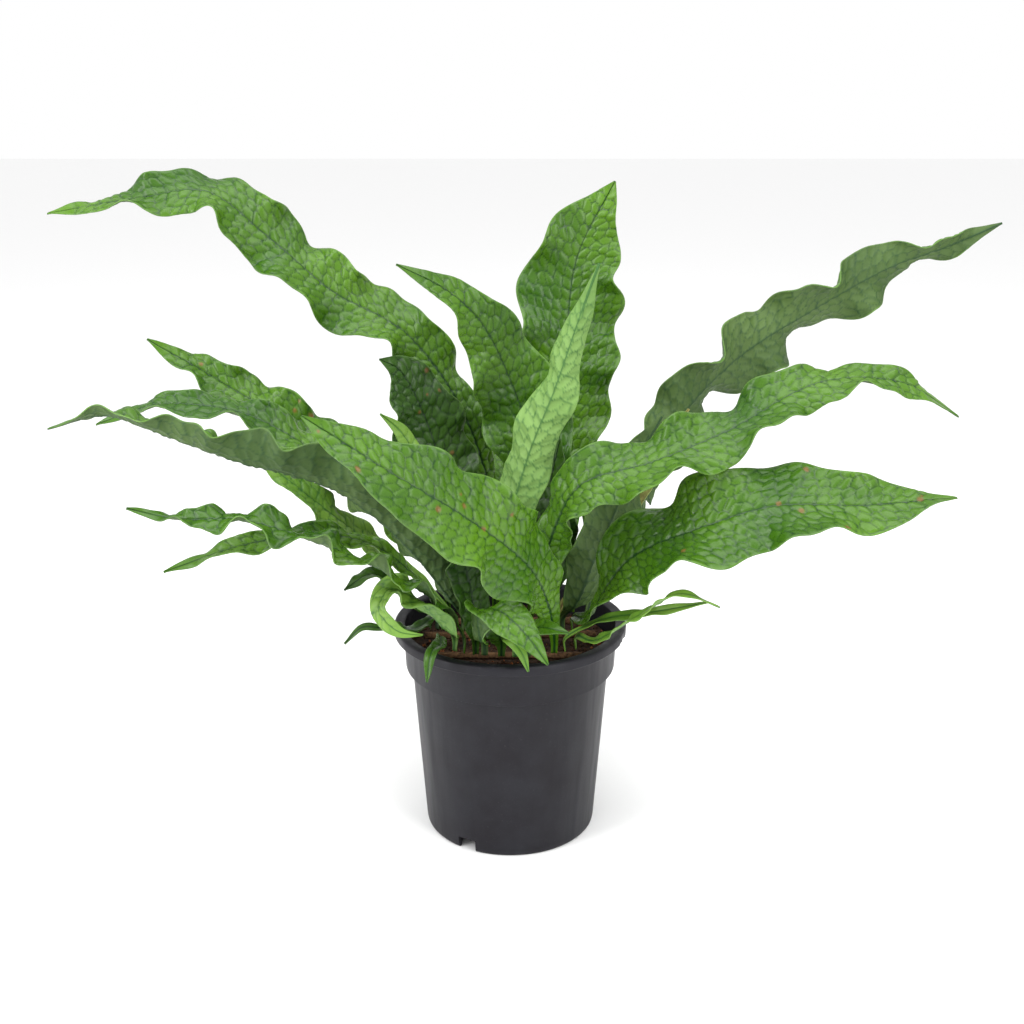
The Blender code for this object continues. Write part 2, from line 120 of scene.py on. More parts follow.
def turned_piece(name, outline, steps):
    """Draw a closed outline of (radius, height) in mm with one point, and spin it about the Z axis."""
    bpy.ops.object.select_all(action="DESELECT")
    bpy.ops.mesh.primitive_plane_add(size=0.001)
    piece = bpy.context.object
    piece.name = name
    bpy.ops.object.mode_set(mode="EDIT")
    bpy.ops.mesh.merge(type="CENTER")
    here = Vector((0, 0, 0))
    for number, (radius, height) in enumerate(outline):
        there = Vector((radius * MM, 0, height * MM))
        if number == 0:
            bpy.ops.transform.translate(value=there - here)
        else:
            bpy.ops.mesh.extrude_region_move(TRANSFORM_OT_translate={"value": there - here})
        here = there
    bpy.ops.mesh.select_all(action="SELECT")
    bpy.ops.mesh.spin(steps=steps, angle=math.tau, center=(0, 0, 0), axis=(0, 0, 1))
    bpy.ops.mesh.select_all(action="SELECT")
    bpy.ops.mesh.remove_doubles(threshold=0.00002)
    bpy.ops.mesh.normals_make_consistent(inside=False)
    bpy.ops.object.mode_set(mode="OBJECT")
    return piece


def apply_all(piece):
    """Apply a piece's modifiers and its place."""
    bpy.ops.object.select_all(action="DESELECT")
    piece.select_set(True)
    bpy.context.view_layer.objects.active = piece
    for modifier in list(piece.modifiers):
        bpy.ops.object.modifier_apply(modifier=modifier.name)
    bpy.ops.object.transform_apply(location=True, rotation=True, scale=True)


def cut(piece, cutter):
    """Take a cutter out of a piece, and throw the cutter away."""
    boolean = piece.modifiers.new("cut", "BOOLEAN")
    boolean.operation = "DIFFERENCE"
    boolean.solver = "EXACT"
    boolean.object = cutter
    apply_all(piece)
    bpy.data.objects.remove(cutter, do_unlink=True)


def finish(piece, node):
    """A finished piece stands for its CAD node, which is hidden, and rides with the root body."""
    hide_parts(node)
    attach(piece, "root")


lip_foot = POT_HEIGHT - LIP_DEPTH
foot_inner = BASE_RADIUS - FOOT_WIDTH
pot = turned_piece("nursery_pot", (
    (0.0, 0.0), (CHANNEL_INNER - 3.4, 0.0), (CHANNEL_INNER - 2.7, 0.6), (CHANNEL_INNER - 0.4, CHANNEL - 0.8),
    (CHANNEL_INNER + 0.6, CHANNEL), (CHANNEL_OUTER - 0.6, CHANNEL), (CHANNEL_OUTER + 0.2, CHANNEL - 0.8),
    (foot_inner - 0.8, 0.5), (foot_inner - 0.3, 0.0), (BASE_RADIUS - 2.2, 0.0), (BASE_RADIUS - 1.2, 0.35),
    (BASE_RADIUS - 0.5, 1.1), (BASE_RADIUS - 0.1, 2.4), (BASE_RADIUS + 0.2, 5.0),
    (BODY_TOP - 0.2, SHOULDER - 3.0), (BODY_TOP + 0.3, SHOULDER - 1.2), (BODY_TOP + 1.4, SHOULDER - 0.3),
    (COLLAR_FOOT - 0.9, SHOULDER + 0.1), (COLLAR_FOOT - 0.2, SHOULDER + 0.5), (COLLAR_FOOT, SHOULDER + 1.4),
    (COLLAR_TOP - 0.1, POT_HEIGHT - WALL - 1.2), (COLLAR_TOP + 0.6, POT_HEIGHT - WALL - 0.2),
    (LIP_RADIUS - WALL - 0.8, POT_HEIGHT - WALL - 0.1), (LIP_RADIUS - WALL, POT_HEIGHT - WALL - 0.8),
    (LIP_RADIUS - WALL + 0.1, lip_foot + 0.4), (LIP_RADIUS - WALL + 0.5, lip_foot),
    (LIP_RADIUS - 0.5, lip_foot), (LIP_RADIUS - 0.1, lip_foot + 0.5), (LIP_RADIUS, POT_HEIGHT - 1.9),
    (LIP_RADIUS - 0.4, POT_HEIGHT - 0.8), (LIP_RADIUS - 1.3, POT_HEIGHT - 0.15),
    (LIP_RADIUS - 2.4, POT_HEIGHT),
    (COLLAR_TOP + 0.2, POT_HEIGHT - 0.3), (COLLAR_TOP - 1.1, POT_HEIGHT - 0.9),
    (COLLAR_TOP - WALL - 0.2, POT_HEIGHT - 2.4), (COLLAR_FOOT - WALL, SHOULDER + WALL + 1.5),
    (COLLAR_FOOT - WALL - 0.8, SHOULDER + WALL + 0.2), (BODY_TOP - WALL, SHOULDER - 1.4),
    (BASE_RADIUS - WALL, CHANNEL + WALL + 2.0), (BASE_RADIUS - WALL - 0.6, CHANNEL + WALL + 0.5),
    (BASE_RADIUS - WALL - 2.0, CHANNEL + WALL), (CHANNEL_INNER - 0.8, CHANNEL + WALL),
    (CHANNEL_INNER - 4.0, WALL), (0.0, WALL),
), POT_STEPS)
for number in range(6):
    turn = math.tau * (number + 0.5) / 6
    middle = (CHANNEL_INNER + CHANNEL_OUTER) / 2
    bpy.ops.object.select_all(action="DESELECT")
    bpy.ops.mesh.primitive_cylinder_add(
        vertices=32, radius=4 * MM, depth=14 * MM,
        location=(middle * math.cos(turn) * MM, middle * math.sin(turn) * MM, (CHANNEL + 1) * MM))
    cut(pot, bpy.context.object)
for degrees in NOTCH_ANGLES:
    turn = math.radians(degrees)
    reach = BASE_RADIUS - FOOT_WIDTH / 2
    bpy.ops.object.select_all(action="DESELECT")
    bpy.ops.mesh.primitive_cube_add(size=MM,
                                    location=(reach * math.cos(turn) * MM, reach * math.sin(turn) * MM, 0),
                                    rotation=(0, 0, turn), scale=(8.4, 14.0, 19.0))
    notch = bpy.context.object
    bevel = notch.modifiers.new("round_corners", "BEVEL")
    bevel.width = 0.8 * MM
    bevel.segments = 3
    apply_all(notch)
    cut(pot, notch)
for corner in pot.data.vertices:
    turn = math.atan2(corner.co.y, corner.co.x)
    high = corner.co.z / (POT_HEIGHT * MM)
    sway = 0.35 * MM * high * high * math.sin(2 * turn + 0.6) + 0.12 * MM * high * math.sin(5 * turn)
    flat = Vector((corner.co.x, corner.co.y, 0))
    if flat.length > 0.05:
        corner.co += flat.normalized() * (sway - 0.4 * MM * high)
    chip = math.exp(-((turn + 0.27) / 0.035) ** 2) + 0.6 * math.exp(-((turn + 0.36) / 0.02) ** 2)
    if flat.length > 0.0828 and corner.co.z < (POT_HEIGHT - 2.5) * MM and corner.co.z > 0.14:
        corner.co.z += 1.6 * MM * chip
        corner.co -= flat.normalized() * 0.5 * MM * chip
pot.data.shade_smooth()
pot.data.set_sharp_from_angle(angle=math.radians(34))

material, nodes, links = plain_material("pot_plastic")
shader = nodes["Principled BSDF"]
place = nodes.new("ShaderNodeTexCoord")
dust = nodes.new("ShaderNodeTexNoise")
dust.inputs["Scale"].default_value = 900
dust.inputs["Detail"].default_value = 3
links.new(place.outputs["Object"], dust.inputs["Vector"])
cloud = nodes.new("ShaderNodeTexNoise")
cloud.inputs["Scale"].default_value = 28
cloud.inputs["Detail"].default_value = 6
cloud.inputs["Roughness"].default_value = 0.65
links.new(place.outputs["Object"], cloud.inputs["Vector"])
streak_place = nodes.new("ShaderNodeMapping")
streak_place.inputs["Scale"].default_value = (150, 150, 9)
links.new(place.outputs["Object"], streak_place.inputs["Vector"])
streak = nodes.new("ShaderNodeTexNoise")
streak.inputs["Scale"].default_value = 1.0
streak.inputs["Detail"].default_value = 4
links.new(streak_place.outputs["Vector"], streak.inputs["Vector"])
tint = nodes.new("ShaderNodeValToRGB")
tint.color_ramp.elements[0].position = 0.35
tint.color_ramp.elements[0].color = (0.006, 0.005, 0.008, 1)
tint.color_ramp.elements[1].position = 0.68
tint.color_ramp.elements[1].color = (0.011, 0.011, 0.015, 1)
links.new(cloud.outputs["Fac"], tint.inputs["Fac"])
speck = nodes.new("ShaderNodeValToRGB")
speck.color_ramp.elements[0].position = 0.66
speck.color_ramp.elements[0].color = (0, 0, 0, 1)
speck.color_ramp.elements[1].position = 0.74
speck.color_ramp.elements[1].color = (1, 1, 1, 1)
links.new(dust.outputs["Fac"], speck.inputs["Fac"])
dusty = nodes.new("ShaderNodeMix")
dusty.data_type = "RGBA"
links.new(speck.outputs["Color"], dusty.inputs["Factor"])
links.new(tint.outputs["Color"], dusty.inputs["A"])
dusty.inputs["B"].default_value = (0.023, 0.022, 0.025, 1)
links.new(dusty.outputs["Result"], shader.inputs["Base Color"])
sheen = nodes.new("ShaderNodeMapRange")
sheen.inputs["From Min"].default_value = 0.3
sheen.inputs["From Max"].default_value = 0.7
sheen.inputs["To Min"].default_value = 0.36
sheen.inputs["To Max"].default_value = 0.52
links.new(streak.outputs["Fac"], sheen.inputs["Value"])
links.new(sheen.outputs["Result"], shader.inputs["Roughness"])
shader.inputs["Specular IOR Level"].default_value = 0.22
grain = nodes.new("ShaderNodeBump")
grain.inputs["Strength"].default_value = 0.25
grain.inputs["Distance"].default_value = 0.0002
links.new(dust.outputs["Fac"], grain.inputs["Height"])
links.new(grain.outputs["Normal"], shader.inputs["Normal"])
pot.data.materials.append(material)
finish(pot, "pot")


# ---------------------------------------------------------------- peat
# Moist dark peat with reddish coir crumbs and a few pale grains. It fills the pot to 19 mm below the
# lip, and its loose top is a layer of crumbs.

SOIL_HEIGHT = 140.0
side = WALL + 0.5
soil_outline = [
    (0.0, WALL + 0.4), (CHANNEL_INNER - 4.8, WALL + 0.4), (CHANNEL_INNER - 1.6, CHANNEL + WALL + 0.4),
    (BASE_RADIUS - side - 2.0, CHANNEL + WALL + 0.4), (BASE_RADIUS - side - 0.3, CHANNEL + WALL + 3),
    (BODY_TOP - side - 0.6, SHOULDER - 2.0), (COLLAR_FOOT - side - 0.8, SHOULDER + WALL + 2),
]
soil_rings = 44
for ring in range(soil_rings + 1):
    soil_outline.append(((COLLAR_FOOT - side - 0.5) * (1 - ring / soil_rings), SOIL_HEIGHT))
soil = turned_piece("peat", soil_outline, 150)
for corner in soil.data.vertices:
    if corner.co.z > (SOIL_HEIGHT - 0.5) * MM:
        lump = (noise.noise(corner.co * 120) * 0.9 + noise.noise(corner.co * 420) * 0.7
                + noise.noise(corner.co * 900) * 0.35)
        corner.co.z += (lump - 0.2) * MM
soil.data.shade_smooth()


def crumbly_material(name, dark, light, scale):
    """Peat or bark: two browns mottled by noise, with a rough, crumbly bump."""
    material, nodes, links = plain_material(name)
    shader = nodes["Principled BSDF"]
    place = nodes.new("ShaderNodeTexCoord")
    mottle = nodes.new("ShaderNodeTexNoise")
    mottle.inputs["Scale"].default_value = scale
    mottle.inputs["Detail"].default_value = 8
    mottle.inputs["Roughness"].default_value = 0.7
    links.new(place.outputs["Object"], mottle.inputs["Vector"])
    tint = nodes.new("ShaderNodeValToRGB")
    tint.color_ramp.elements[0].position = 0.36
    tint.color_ramp.elements[0].color = (*dark, 1)
    tint.color_ramp.elements[1].position = 0.66
    tint.color_ramp.elements[1].color = (*light, 1)
    links.new(mottle.outputs["Fac"], tint.inputs["Fac"])
    links.new(tint.outputs["Color"], shader.inputs["Base Color"])
    shader.inputs["Roughness"].default_value = 0.92
    shader.inputs["Specular IOR Level"].default_value = 0.25
    rough = nodes.new("ShaderNodeBump")
    rough.inputs["Strength"].default_value = 0.7
    rough.inputs["Distance"].default_value = 0.0006
    links.new(mottle.outputs["Fac"], rough.inputs["Height"])
    links.new(rough.outputs["Normal"], shader.inputs["Normal"])
    return material


soil.data.materials.append(crumbly_material("moist_peat", (0.010, 0.006, 0.004), (0.060, 0.030, 0.016), 260))
finish(soil, "potting_soil")


def scatter(name, count, reach, sizes, material, seed):
    """Loose crumbs on the peat: one faceted crumb, copied, turned, squashed and joined into one piece."""
    draw = np.random.default_rng(seed)
    bpy.ops.object.select_all(action="DESELECT")
    bpy.ops.mesh.primitive_ico_sphere_add(subdivisions=1, radius=1)
    pattern = bpy.context.object
    crumbs = []
    for number in range(count):
        crumb = pattern.copy()
        crumb.data = pattern.data.copy()
        turn = draw.uniform(0, math.tau)
        radius = reach * math.sqrt(draw.uniform(0.0, 1.0))
        size = draw.uniform(*sizes) * MM
        crumb.location = (radius * math.cos(turn) * MM, radius * math.sin(turn) * MM,
                          (SOIL_HEIGHT + draw.uniform(-0.3, 0.9)) * MM)
        crumb.rotation_euler = draw.uniform(0, math.tau, 3)
        crumb.scale = size * draw.uniform(0.45, 1.3, 3)
        bpy.context.scene.collection.objects.link(crumb)
        crumbs.append(crumb)
    bpy.data.objects.remove(pattern, do_unlink=True)
    bpy.ops.object.select_all(action="DESELECT")
    for crumb in crumbs:
        crumb.select_set(True)
    bpy.context.view_layer.objects.active = crumbs[0]
    bpy.ops.object.join()
    bpy.ops.object.transform_apply(location=True, rotation=True, scale=True)
    piece = bpy.context.object
    piece.name = name
    piece.data.materials.append(material)
    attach(piece, "root")


scatter("peat_crumbs", 620, 73.0, (0.8, 2.2),
        crumbly_material("peat_crumb", (0.012, 0.007, 0.005), (0.085, 0.038, 0.018), 500), 11)
scatter("coir_crumbs", 150, 73.5, (0.7, 1.9),
        crumbly_material("coir_crumb", (0.10, 0.030, 0.010), (0.36, 0.13, 0.045), 500), 12)
scatter("pale_grains", 16, 72.0, (0.5, 1.0),
        crumbly_material("pale_grain", (0.35, 0.32, 0.27), (0.62, 0.58, 0.50), 900), 13)


# ---------------------------------------------------------------- rootstock
# Three arms of the living rootstock creep over the peat. They are about as thick as a finger, covered
# with papery brown scales, and every frond grows from the top of one of them.

ROOT_RADIUS = 6.0
ROOT_LIFT = 1.4
ROOT_ARMS = {
    "back": ((-52, 24), (-20, 34), (16, 36), (50, 26)),
    "middle": ((-62, -2), (-25, -10), (20, -12), (62, 0)),
    "front": ((-52, -38), (-20, -51), (16, -53), (50, -38)),
}


def smooth_line(points, count):
    """Evenly spaced points on a smooth curve that passes through all the given points."""
    points = np.array(points, float)
    padded = np.vstack((2 * points[0] - points[1], points, 2 * points[-1] - points[-2]))
    steps = np.sqrt(np.linalg.norm(np.diff(padded, axis=0), axis=1))
    knots = np.concatenate(((0.0,), np.cumsum(steps)))
    curve = []
    for i in range(1, len(padded) - 2):
        k0, k1, k2, k3 = knots[i - 1:i + 3]
        p0, p1, p2, p3 = padded[i - 1:i + 3]
        for k in np.linspace(k1, k2, 24, endpoint=False):
            a1 = ((k1 - k) * p0 + (k - k0) * p1) / (k1 - k0)
            a2 = ((k2 - k) * p1 + (k - k1) * p2) / (k2 - k1)
            a3 = ((k3 - k) * p2 + (k - k2) * p3) / (k3 - k2)
            b1 = ((k2 - k) * a1 + (k - k0) * a2) / (k2 - k0)
            b2 = ((k3 - k) * a2 + (k - k1) * a3) / (k3 - k1)
            curve.append(((k2 - k) * b1 + (k - k1) * b2) / (k2 - k1))
    curve.append(points[-1])
    curve = np.array(curve)
    run = np.concatenate(((0.0,), np.cumsum(np.linalg.norm(np.diff(curve, axis=0), axis=1))))
    return along(run / run[-1], curve, np.linspace(0.0, 1.0, count)), run[-1]


def along(stations, rows, wanted):
    """Read rows of numbers that are given at some stations at other stations."""
    rows = np.array(rows, float)
    return np.stack([np.interp(wanted, stations, column) for column in rows.T], axis=1)


def arm_line(arm, count):
    """The middle line of a rootstock arm, in mm."""
    height = SOIL_HEIGHT + ROOT_LIFT + ROOT_RADIUS
    return smooth_line([(x, y, height) for x, y in ROOT_ARMS[arm]], count)[0]


bark = crumbly_material("rootstock_scales", (0.035, 0.016, 0.008), (0.20, 0.11, 0.05), 420)
for arm in ROOT_ARMS:
    line = arm_line(arm, 90)
    bpy.ops.object.select_all(action="DESELECT")
    bpy.ops.mesh.primitive_cylinder_add(vertices=28, radius=1, depth=2, end_fill_type="NGON")
    stem = bpy.context.object
    stem.name = "rootstock_" + arm + "_scaly"
    bpy.ops.object.mode_set(mode="EDIT")
    bpy.ops.mesh.select_all(action="DESELECT")
    bpy.ops.object.mode_set(mode="OBJECT")
    for edge in stem.data.edges:
        low, high = (stem.data.vertices[number].co.z for number in edge.vertices)
        edge.select = abs(high - low) > 1
    bpy.ops.object.mode_set(mode="EDIT")
    bpy.ops.mesh.select_mode(type="EDGE")
    bpy.ops.mesh.subdivide_edgering(number_cuts=100)
    bpy.ops.mesh.select_mode(type="VERT")
    bpy.ops.object.mode_set(mode="OBJECT")
    share_all = np.linspace(0, 1, len(line))
    onward_all = np.gradient(line, axis=0)
    for corner in stem.data.vertices:
        share = (corner.co.z + 1) / 2
        here = Vector(along(share_all, line, [share])[0])
        onward = Vector(along(share_all, onward_all, [share])[0]).normalized()
        across = onward.cross(Vector((0, 0, 1))).normalized()
        blunt = 0.45 + 0.5 * math.sin(math.pi * min(max(share, 0.0), 1.0)) ** 0.35
        turn = math.atan2(corner.co.y, corner.co.x)
        scale_row = share * 34
        shingle = (scale_row + 0.5 * math.sin(turn * 5 + math.floor(scale_row) * 2.4)) % 1.0
        spot = here + across * math.cos(turn) * 6 + Vector((0, 0, 1)) * math.sin(turn) * 6
        radius = ROOT_RADIUS * blunt * 0.9 + 0.5 * shingle + 0.35 * noise.noise(spot * 0.35)
        corner.co = (here + (across * math.cos(turn) + Vector((0, 0, 1)) * math.sin(turn)) * radius) * MM
    bpy.ops.object.mode_set(mode="EDIT")
    bpy.ops.mesh.select_all(action="SELECT")
    bpy.ops.mesh.normals_make_consistent(inside=False)
    bpy.ops.object.mode_set(mode="OBJECT")
    stem.data.shade_smooth()
    stem.data.materials.append(bark)
    finish(stem, "rootstock_" + arm)


# ---------------------------------------------------------------- fronds
# Leathery straps on short stalks. The net of veins leaves raised, glossy cells on the upper side, and
# the underside is matt and grey-green with the veins standing out. The edges ruffle and are pale.

STALK_HALF_WIDTH = 2.3
STALK_STUB = 9.0
TIP_HALF_WIDTH = 0.5
GAP = 0.3
BLADE = 0.7
CELL_LENGTH = 8.0
CELL_WIDTH = 6.4
VEIN_SLANT = 0.6
CELL_JITTER = 0.27
MARGIN_COLOUR = (0.17, 0.31, 0.07)
BLEMISH_COLOUR = (0.16, 0.075, 0.02)
FINENESS = 1.05


# arm and spot: where on the rootstock the frond grows, as a share of the arm's length.
# route: the midrib's points in mm; width: the widest place in mm, and where it is along the frond.
# faces: the way that the upper side looks, at even steps from base to tip.
# curl: how far the left and right halves lift towards the upper side in degrees, base to tip.
# waves: how many ruffles the edges have, and how far they lift and drop in degrees.
# tail: how blunt the tip is, from 1 for a long thin point to 2 for a blunt one.
Frond = namedtuple("Frond", "name arm spot route width widest faces left right waves tail", defaults=(1.5,))

FRONDS = (
    Frond("frond_left_high", "back", 0.40,
          ((-8, 44, 200), (-32, 54, 295), (-75, 60, 358), (-130, 60, 391), (-172, 60, 428),
           (-215, 60, 460), (-260, 56, 456), (-325, 50, 446)),
          48, 0.55, ((1, -2, 0), (2, -3, 1), (1, -3, 2), (0, -1, 3)), (10, 5), (10, 5), (7, 24), 1.7),
    Frond("frond_left_second", "back", 0.05,
          ((-50, 18, 205), (-110, 24, 262), (-160, 28, 300), (-205, 32, 328), (-258, 34, 360)),
          42, 0.50, ((1, -2, 1), (1, -3, 2), (0, -1, 1)), (20, 40, 5), (10, 10, 5), (6, 22)),
    Frond("frond_left_third", "middle", 0.30,
          ((-43, -20, 190), (-85, -25, 245), (-130, -30, 292), (-180, -32, 322), (-235, -32, 328),
           (-280, -30, 314)),
          30, 0.55, ((1, -1, 1), (0, -1, 2), (0, -1, 2)), (10, 20, 10), (10, 10, 5), (6, 20)),
    Frond("frond_left_long", "middle", 0.22,
          ((-38, -50, 190), (-75, -76, 250), (-115, -92, 288), (-170, -102, 308), (-212, -102, 324),
           (-252, -98, 337), (-290, -95, 328)),
          52, 0.45, ((1, 0, 1), (0, 0, 1), (0, 0, 1), (0, 0, 1)), (40, 80, 70, 15), (5, 0, 0), (8, 16)),
    Frond("frond_left_wavy", "front", 0.20,
          ((-42, -72, 195), (-76, -110, 236), (-118, -130, 264), (-165, -138, 282), (-200, -140, 283),
           (-232, -140, 290)),
          28, 0.50, ((1, 0, 1), (0, 0, 1), (0, -1, 2)), (10, 10), (10, 10), (7, 34)),
    Frond("frond_left_low", "middle", 0.10,
          ((-57, -34, 195), (-92, -54, 235), (-132, -72, 250), (-178, -86, 246), (-225, -95, 232)),
          19, 0.60, ((1, 0, 1), (0, -1, 2), (0, -1, 2)), (10, 10), (10, 10), (5, 24)),
    Frond("frond_left_pale", "middle", 0.17,
          ((-64, -4, 190), (-105, -20, 230), (-140, -48, 272), (-167, -58, 300)),
          26, 0.60, ((1, 0, 1), (1, -1, 2), (1, -2, 2)), (10, 10), (10, 10), (4, 16)),
    Frond("frond_left_dark", "middle", 0.03,
          ((-72, -5, 175), (-98, -20, 202), (-116, -35, 196)),
          16, 0.50, ((1, 0, 1), (0, -1, 2)), (10, 10), (10, 10), (3, 20)),
    Frond("frond_left_curl", "front", 0.13,
          ((-46, -76, 186), (-62, -92, 212), (-78, -102, 222), (-84, -111, 212), (-72, -117, 200),
           (-56, -117, 197)),
          24, 0.35, ((1, 1, 1), (1, 1, 1), (-1, -1, 1), (-1, -2, -1)), (10, 10), (10, 10), (3, 14)),
    Frond("frond_left_ribbon", "middle", 0.07,
          ((-66, -52, 174), (-76, -74, 184), (-86, -86, 189), (-98, -90, 191), (-110, -92, 180)),
          9, 0.50, ((1, 1, 1), (0, -1, 1)), (5, 5), (5, 5), (3, 20)),
    Frond("frond_left_hook", "front", 0.03,
          ((-48, -66, 168), (-53, -84, 170), (-56, -92, 152)),
          10, 0.50, ((1, 1, 1), (-1, -2, 2)), (5, 5), (5, 5), (2, 10)),
    Frond("frond_sweeping", "front", 0.80,
          ((26, -64, 195), (10, -102, 240), (-28, -138, 284), (-72, -155, 318), (-122, -150, 350)),
          60, 0.44, ((0, -1, 1), (1, -3, 2), (1, -2, 2)), (0, 5), (10, 10), (4, 12)),
    Frond("frond_front_bright", "front", 0.34,
          ((-20, -72, 174), (-20, -92, 202), (-6, -112, 211), (10, -126, 201), (24, -134, 184)),
          26, 0.55, ((0, 1, 1), (1, 0, 1), (0, -1, 2), (0, -2, 1)), (0, 0), (0, 0), (2, 12)),
    Frond("frond_front_dark", "front", 0.45,
          ((-7, -62, 172), (-10, -72, 196)),
          20, 0.60, ((0, -1, 0), (0, -1, 1)), (10, 10), (10, 10), (2, 10)),
    Frond("frond_front_small", "front", 0.62,
          ((11, -72, 172), (12, -92, 190), (24, -108, 198), (38, -114, 197)),
          16, 0.60, ((0, 1, 1), (0, -1, 1), (0, -1, 2)), (5, 5), (5, 5), (2, 12)),
    Frond("frond_front_hook", "front", 0.54,
          ((1, -74, 172), (1, -89, 181), (8, -97, 175), (12, -101, 164)),
          10, 0.50, ((0, 1, 1), (0, -1, 1)), (5, 5), (5, 5), (2, 10)),
    Frond("frond_right_thin", "front", 0.96,
          ((58, -68, 172), (84, -92, 200), (110, -108, 222), (134, -116, 216)),
          10, 0.50, ((-1, 0, 1), (0, 0, 1)), (5, 5), (5, 5), (4, 22)),
    Frond("frond_right_slim", "front", 0.88,
          ((64, -50, 180), (96, -66, 192), (132, -80, 205)),
          8, 0.50, ((-1, 0, 1), (0, -1, 1)), (5, 5), (5, 5), (3, 18)),
    Frond("frond_right_bright", "middle", 0.86,
          ((54, -40, 178), (80, -70, 232), (122, -95, 262), (166, -105, 280), (222, -110, 282),
           (279, -112, 288)),
          66, 0.50, ((-1, 0, 1), (-1, -2, 2), (0, -2, 2), (0, -1, 2)), (5, 5), (20, 10), (4, 16)),
    Frond("frond_right_arching", "middle", 0.60,
          ((22, -42, 205), (30, -64, 252), (48, -80, 288), (90, -86, 303), (142, -74, 322),
           (200, -62, 350), (255, -55, 348), (295, -52, 325)),
          46, 0.45, ((0, -1, 0), (-1, -2, 2), (0, -1, 2), (0, -1, 2)), (5, 5), (5, 5), (6, 22)),
    Frond("frond_right_high", "middle", 0.95,
          ((62, 2, 185), (84, 4, 228), (112, 15, 294), (158, 30, 344), (218, 45, 380), (272, 55, 408),
           (310, 60, 421), (350, 62, 438)),
          50, 0.48, ((-1, 1, 0), (-1, 3, 0), (-1, 4, 1), (0, 2, 1)), (10, 5), (10, 5), (5, 42)),
    Frond("frond_centre_pale", "middle", 0.46,
          ((-2, -34, 190), (0, -52, 250), (12, -58, 300), (29, -58, 345), (43, -52, 386), (57, -45, 424)),
          34, 0.50, ((0, 1, 0), (1, 3, 0), (1, 3, 1)), (15, 20, 50), (15, 20, 50), (4, 12)),
    Frond("frond_centre_broad", "back", 0.66,
          ((32, 20, 190), (30, 18, 235), (18, 18, 283), (0, 12, 335), (-20, 0, 378), (-44, -10, 402),
           (-75, -20, 420)),
          60, 0.52, ((0, -1, 0), (0, -1, 0), (0, -2, 1), (0, -1, 1)), (8, 8), (8, 8), (5, 12), 0.85),
    Frond("frond_centre_tall", "back", 0.74,
          ((38, 62, 195), (40, 75, 243), (41, 85, 304), (43, 92, 360), (50, 95, 411), (76, 90, 465)),
          78, 0.62, ((0, -1, 0), (0, -1, 0), (0, -2, 1)), (8, 8), (8, 8), (5, 12)),
    Frond("frond_inner_left", "back", 0.25,
          ((-26, 25, 196), (-48, 28, 261), (-62, 28, 306), (-78, 20, 340), (-91, 12, 350)),
          54, 0.60, ((1, -3, 0), (1, -3, 1), (0, -1, 1)), (8, 8), (8, 8), (4, 12)),
    Frond("frond_inner_slim", "middle", 0.38,
          ((-40, 8, 210), (-60, 5, 266), (-76, 0, 300), (-90, -5, 315)),
          18, 0.60, ((1, -3, 1), (1, -2, 1)), (8, 8), (8, 8), (3, 14)),
    Frond("frond_right_yellow", "middle", 0.75,
          ((46, -3, 185), (84, -11, 245), (108, -6, 292), (124, -2, 318)),
          14, 0.60, ((-1, -1, 1), (-1, -2, 1)), (8, 8), (8, 8), (3, 14)),
    Frond("frond_right_folded", "middle", 0.80,
          ((47, -25, 182), (58, -31, 215), (73, -32, 255), (91, -27, 296), (103, -24, 318)),
          40, 0.45, ((-1, 2, 0), (-1, 3, 0), (-1, 3, 0)), (15, 15), (15, 15), (3, 20)),
    Frond("frond_centre_dark", "middle", 0.68,
          ((25, -17, 188), (29, -21, 230), (28, -22, 270), (34, -24, 302)),
          36, 0.50, ((0, -1, 0), (0, -1, 0)), (12, 12), (12, 12), (3, 14)),
    Frond("frond_middle_dark", "middle", 0.53,
          ((1, -19, 188), (-5, -21, 222), (-11, -22, 258)),
          24, 0.50, ((0, -1, 0), (0, -1, 0)), (10, 10), (10, 10), (3, 14)),
    Frond("frond_left_inner", "front", 0.28,
          ((-24, -60, 180), (-28, -66, 215), (-36, -74, 248), (-46, -80, 270)),
          28, 0.50, ((1, -2, 0), (1, -2, 1)), (10, 10), (10, 10), (3, 16)),
    Frond("frond_back_left", "back", 0.14,
          ((-45, 70, 215), (-80, 120, 245), (-110, 165, 225), (-130, 200, 180)),
          40, 0.55, ((0, -1, 1), (0, 0, 1), (0, 1, 2)), (10, 10), (10, 10), (6, 20)),
    Frond("frond_back_middle", "back", 0.48,
          ((0, 78, 228), (-10, 130, 262), (-20, 180, 235), (-25, 215, 180)),
          44, 0.55, ((0, -1, 1), (0, 0, 1), (0, 1, 2)), (10, 10), (10, 10), (6, 20)),
    Frond("frond_back_right", "back", 0.96,
          ((68, 70, 212), (88, 125, 245), (110, 175, 222), (122, 205, 182)),
          40, 0.55, ((0, -1, 1), (0, 0, 1), (0, 1, 2)), (10, 10), (10, 10), (6, 20)),
    Frond("frond_back_low_left", "back", 0.33,
          ((-28, 75, 185), (-45, 105, 190), (-60, 130, 165)),
          22, 0.55, ((0, -1, 1), (0, 1, 2)), (10, 10), (10, 10), (3, 18)),
    Frond("frond_back_low_right", "back", 0.57,
          ((20, 78, 182), (34, 110, 192), (46, 140, 166)),
          24, 0.55, ((0, -1, 1), (0, 1, 2)), (10, 10), (10, 10), (3, 18)),
)


def unit(rows):
    """Scale each row to length one."""
    return rows / np.linalg.norm(rows, axis=-1, keepdims=True)


def smooth_step(low, high, value):
    """0 below low, 1 above high, and a soft rise between."""
    share = np.clip((value - low) / (high - low), 0.0, 1.0)
    return share * share * (3 - 2 * share)


